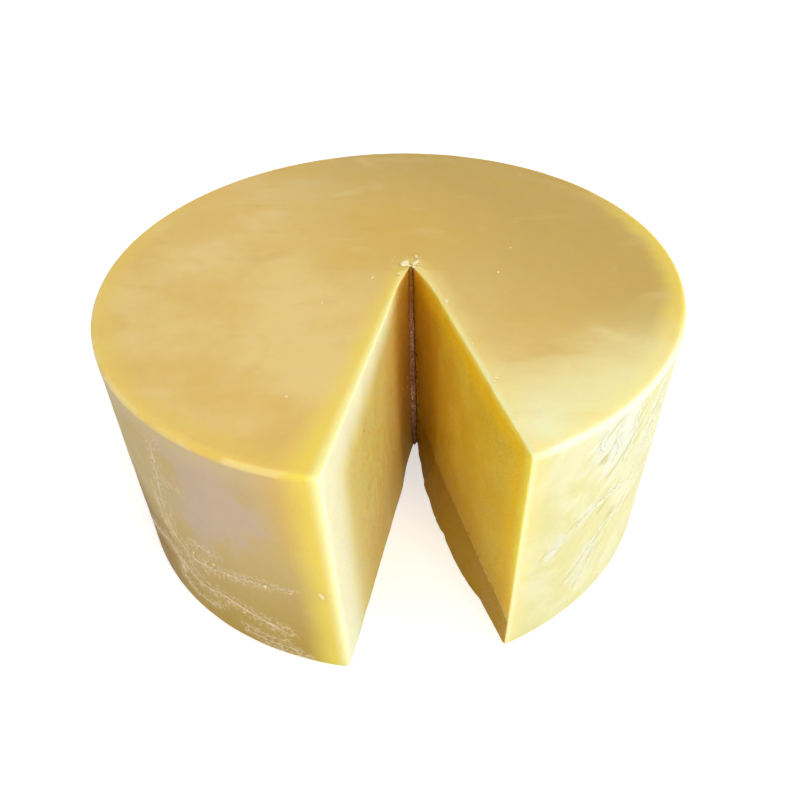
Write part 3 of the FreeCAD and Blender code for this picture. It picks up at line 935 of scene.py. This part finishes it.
# The larger crumbs first, then the dust of small ones about the tip of the gap.
crumb_lift, dust_lift, dust_count = 0.22, 0.1, 26
dice = random.Random(31)
crumb_lumps = []
for across, back, width, length, height in crumb_places:
    size = (width / 1000, length / 1000, height / 1000)
    middle = (across / 1000, back / 1000, wheel_height + size[2] * crumb_lift)
    crumb_lumps.append((middle, size, Matrix.Rotation(dice.uniform(-0.5, 0.5), 3, "Z")))
for _ in range(dust_count):
    reach = dice.uniform(-0.006, 0.012)
    size = [dice.uniform(0.0004, 0.0009) for _ in range(3)]
    middle = (0.0105 + dice.gauss(0, 0.004), 0.004 + reach * 0.7, wheel_height + size[2] * dust_lift)
    if middle[1] > 0.0025:
        crumb_lumps.append((middle, size, Matrix.Rotation(dice.uniform(0, 3), 3, "Z")))
crumbs = joined_lumps("crumbs", crumb_lumps, 32)


def dry_finish(name, low, high, blotch, grain, relief, roughness):
    """A dry, matt finish: two tones in blotches of a size, with a fine grain over them."""
    finish = Finish(name)
    place = finish.place()
    shade = finish.noise(place, blotch, detail=4, rough=0.6)
    finish.colour(finish.blend(finish.ramp(shade, 0.35, 0.65), paint(*low), paint(*high)))
    finish.bump(finish.noise(place, *grain), relief)
    finish.set("Roughness", roughness)
    return finish.material


crumb_paste = dry_finish(
    "dry_crumb", (240, 220, 150), (252, 243, 198), 0.0015, (0.0006, 4, 0.7), 0.0003, 0.6)
crumbs.data.materials.append(crumb_paste)
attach(crumbs, "root")


# The scuffs on the left of the rind: thin pale ridges where dried whey and wax were dragged
# along by shelf boards and cloth. They stand up to a quarter of a millimetre proud of the rind
# and fray at the sides. Their lines are given with the wheel, which is stained along them.


def on_the_rind(turn_degrees, height, proud):
    """A point over the true round of the rind, at a turn, a height and a proud height in metres."""
    angle = math.radians(turn_degrees)
    radius = mean_radius + out_of_round * math.cos(2 * (angle - long_axis_angle)) + proud
    return Vector((radius * math.cos(angle), radius * math.sin(angle), height))


def settled(points):
    """The same points, moved in or out with the unevenness of the rind under them."""
    spots = np.array([tuple(point) for point in points])
    way = spots[:, :2] / np.linalg.norm(spots[:, :2], axis=1)[:, None]
    relief = press_relief(spots[:, 0], spots[:, 1], spots[:, 2])
    spots[:, :2] += way * relief[:, None]
    return [tuple(map(float, spot)) for spot in spots]


def ridges(name, lines, seed, fray):
    """One mesh of thin ridges along lines on the rind, each with short frayed side hairs.

    Fray says how many hairs grow from each knot of a line.
    """
    dice = random.Random(seed)
    strands = []
    for path, width, proud in lines:
        strands.append((through(path, 30 * len(path)), width, proud))
        for _ in range(int(fray * len(path))):
            where = dice.uniform(0, len(path) - 1.01)
            first = int(where)
            knot, next_knot = np.array(path[first]), np.array(path[first + 1])
            root = knot * (1 - where + first) + next_knot * (where - first)
            ahead = next_knot - knot
            length = dice.uniform(0.3, 1.0) ** 2
            away = ahead * dice.uniform(-0.5, 0.6) * length
            away = away + np.array([dice.uniform(-1.4, 1.4), dice.uniform(-3.6, 3.6)]) * length
            bent = away * 0.5 + np.array([dice.uniform(-0.3, 0.3), dice.uniform(-0.8, 0.8)]) * length
            strands.append((through([root, root + bent, root + away], 14), width * 0.45, proud * 0.6))
    lowest, highest = 1.6, 132.4
    sway, shiver = 0.0009, 0.0004
    across_shares = [1.0, 0.55, 0.0, -0.55, -1.0]
    raised = [-0.6, 0.6, 1.0, 0.6, -0.6]
    count = len(across_shares)
    points, faces = [], []
    for line, width, proud in strands:
        start = len(points)
        offset = dice.uniform(0, 90)
        spots = [on_the_rind(turn, min(max(height, lowest), highest) / 1000, 0)
                 for turn, height in line]
        for step, spot in enumerate(spots):
            way = spots[min(step + 1, len(spots) - 1)] - spots[max(step - 1, 0)]
            out = Vector((spot.x, spot.y, 0)).normalized()
            aside = way.cross(out).normalized()
            share = step / (len(line) - 1)
            taper = min(1.0, 5 * share + 0.1, 5 * (1 - share) + 0.1)
            taper *= 0.85 + 0.9 * noise.noise((offset, step * 0.37, 0))
            stray = sway * noise.noise((step * 0.17, offset, 4))
            stray += shiver * noise.noise((step * 0.6, 2, offset))
            body = 0.8 + 0.8 * noise.noise((step * 0.4, 7, offset))
            for along, raise_share in zip(across_shares, raised):
                lift = proud / 1000 * raise_share * (body if raise_share > 0 else 1)
                points.append(spot + aside * (along * width / 2000 * taper + stray) + out * lift)
        for step in range(len(line) - 1):
            here = start + step * count
            for lane in range(count):
                beside = (lane + 1) % count
                faces.append((here + lane, here + beside, here + count + beside, here + count + lane))
        faces.append(tuple(reversed(range(start, start + count))))
        faces.append(tuple(range(start + (len(line) - 1) * count, start + len(line) * count)))
    return new_piece(name, settled(points), faces, True)


ridge_blotch, ridge_grain, ridge_relief = 0.004, (0.0007, 3, 0.6), 0.0002
rind_scuffs = ridges("rind_scuffs", scuff_lines, 41, 4.0)
rind_scuffs.data.materials.append(dry_finish(
    "dried_whey", (222, 196, 148), (240, 219, 178), ridge_blotch, ridge_grain, ridge_relief, 0.5))
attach(rind_scuffs, "root")


# The wax creases on the right of the rind: the clear coat has lifted and wrinkled into soft
# pale folds that run down from the rim and then slant off to the right. Their lines, too, are
# given with the wheel.

wax_creases = ridges("wax_creases", wax_lines, 42, 2.5)
wax_creases.data.materials.append(dry_finish(
    "lifted_wax", (232, 228, 186), (240, 238, 210), ridge_blotch, ridge_grain, ridge_relief, 0.4))
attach(wax_creases, "root")


# The flakes on the rind: thin broken scales of dry rind and paste, left by the knife. They lie
# flat against the left side by the cut and low down, and stick there by themselves.

flake_places = [
    # turn round the wheel in degrees, height on it, width, length and thickness in mm, slant
    (-102.8, 57.7, 1.9, 4.6, 0.5, 24), (-113.2, 54.9, 1.8, 2.6, 0.4, -30),
    (-108.4, 55.4, 0.9, 1.4, 0.3, 10), (-126.6, 49.4, 1.3, 1.8, 0.4, 40),
    (-129.4, 52.6, 1.0, 1.6, 0.4, 0), (-124.2, 53.6, 0.9, 1.5, 0.3, 60),
    (-112.4, 2.6, 1.2, 1.6, 0.4, 20), (-109.2, 1.9, 0.9, 1.2, 0.3, 80),
    (-134.2, 27.4, 0.9, 1.6, 0.4, 30),
]
flake_lumps = []
for turn, height, width, length, thickness, slant in flake_places:
    angle = math.radians(turn)
    out = Vector((math.cos(angle), math.sin(angle), 0))
    aside = Vector((-math.sin(angle), math.cos(angle), 0))
    lean = math.radians(slant)
    first = aside * math.cos(lean) + Vector((0, 0, 1)) * math.sin(lean)
    second = out.cross(first)
    spin = Matrix((first, second, out)).transposed()
    size = (width / 1000, length / 1000, thickness / 1000)
    flake_lumps.append((settled([on_the_rind(turn, height / 1000, 0.0001)])[0], size, spin))
rind_flakes = joined_lumps("rind_flakes", flake_lumps, 43)
rind_flakes.data.materials.append(crumb_paste)
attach(rind_flakes, "root")


# The floor: a plain pale table top with a matt finish, laid level just under the wheel.
# It is the stage and no part of the wheel: it keeps a soft shadow and shows white around it.

floor_reach, floor_drop = 4.0, 0.0002
floor_glow = 0.5
floor_corners = [(across * floor_reach, back * floor_reach, 0)
                 for across, back in ((-1, -1), (1, -1), (1, 1), (-1, 1))]
floor = new_piece("floor", floor_corners, [(0, 1, 2, 3)], False)
floor.location.z = -floor_drop
floor_finish = Finish("floor")
floor_finish.set("Base Color", (0.8, 0.8, 0.8, 1))
floor_finish.set("Roughness", 0.9)
seen = floor_finish.add("ShaderNodeLightPath").outputs["Is Camera Ray"]
glow = floor_finish.add("ShaderNodeEmission")
floor_finish.put(glow.inputs["Strength"], floor_finish.times(seen, floor_glow))
both = floor_finish.add("ShaderNodeAddShader")
floor_finish.put(both.inputs[0], floor_finish.shader.outputs[0])
floor_finish.put(both.inputs[1], glow.outputs[0])
floor_finish.put(floor_finish.tree.nodes["Material Output"].inputs["Surface"], both.outputs[0])
floor.data.materials.append(floor_finish.material)


# The light: a plain bright room, with one soft round lamp low on the right and a broad one
# in front. Both hang free and are turned to the middle of the wheel.

room_light, room_as_seen = 0.68, 1.0
world = bpy.data.worlds.new("room")
bpy.context.scene.world = world
world.use_nodes = True
room_nodes, room_links = world.node_tree.nodes, world.node_tree.links
room = room_nodes["Background"]
room.inputs["Color"].default_value = (1, 1, 1, 1)
room_strength = room_nodes.new("ShaderNodeMapRange")
room_strength.inputs["To Min"].default_value = room_light
room_strength.inputs["To Max"].default_value = room_as_seen
room_seen = room_nodes.new("ShaderNodeLightPath").outputs["Is Camera Ray"]
room_links.new(room_seen, room_strength.inputs["Value"])
room_links.new(room_strength.outputs["Result"], room.inputs["Strength"])

# Each lamp: its name, its place, the spot it is turned to, its width in metres and its watts.
lamps = [
    ("low_lamp", (1.20, -0.36, 0.46), (0, -0.06, 0.07), 0.45, 4.4),
    ("broad_lamp", (0.42, -1.15, 0.95), (0.02, -0.05, 0.07), 0.8, 8),
]
for name, place, aim, width, watts in lamps:
    light = bpy.data.lights.new(name, "AREA")
    light.shape = "DISK"
    light.size = width
    light.energy = watts
    lamp = bpy.data.objects.new(name, light)
    lamp.location = place
    lamp.rotation_euler = (Vector(aim) - Vector(place)).to_track_quat("-Z", "Y").to_euler()
    bpy.context.scene.collection.objects.link(lamp)


# The camera: a short lens of 34 mm before a film 36 mm wide, close in front of the wheel and
# above it, and dipped to look down on its top and into the gap.

lens_length, film_width = 33.588, 36
camera_place = (0, -0.3379, 0.33835)
camera_turn, camera_dip, camera_roll = -0.615, 41.113, -0.738
camera_data = bpy.data.cameras.new("camera")
camera_data.sensor_width = film_width
camera_data.lens = lens_length
camera = bpy.data.objects.new("camera", camera_data)
turn = Matrix.Rotation(math.radians(camera_turn), 4, "Z")
tilt = Matrix.Rotation(math.radians(90 - camera_dip), 4, "X")
roll = Matrix.Rotation(math.radians(camera_roll), 4, "Z")
camera.matrix_world = Matrix.Translation(camera_place) @ turn @ tilt @ roll
bpy.context.scene.collection.objects.link(camera)
bpy.context.scene.camera = camera
bpy.context.scene.view_settings.view_transform = "Standard"
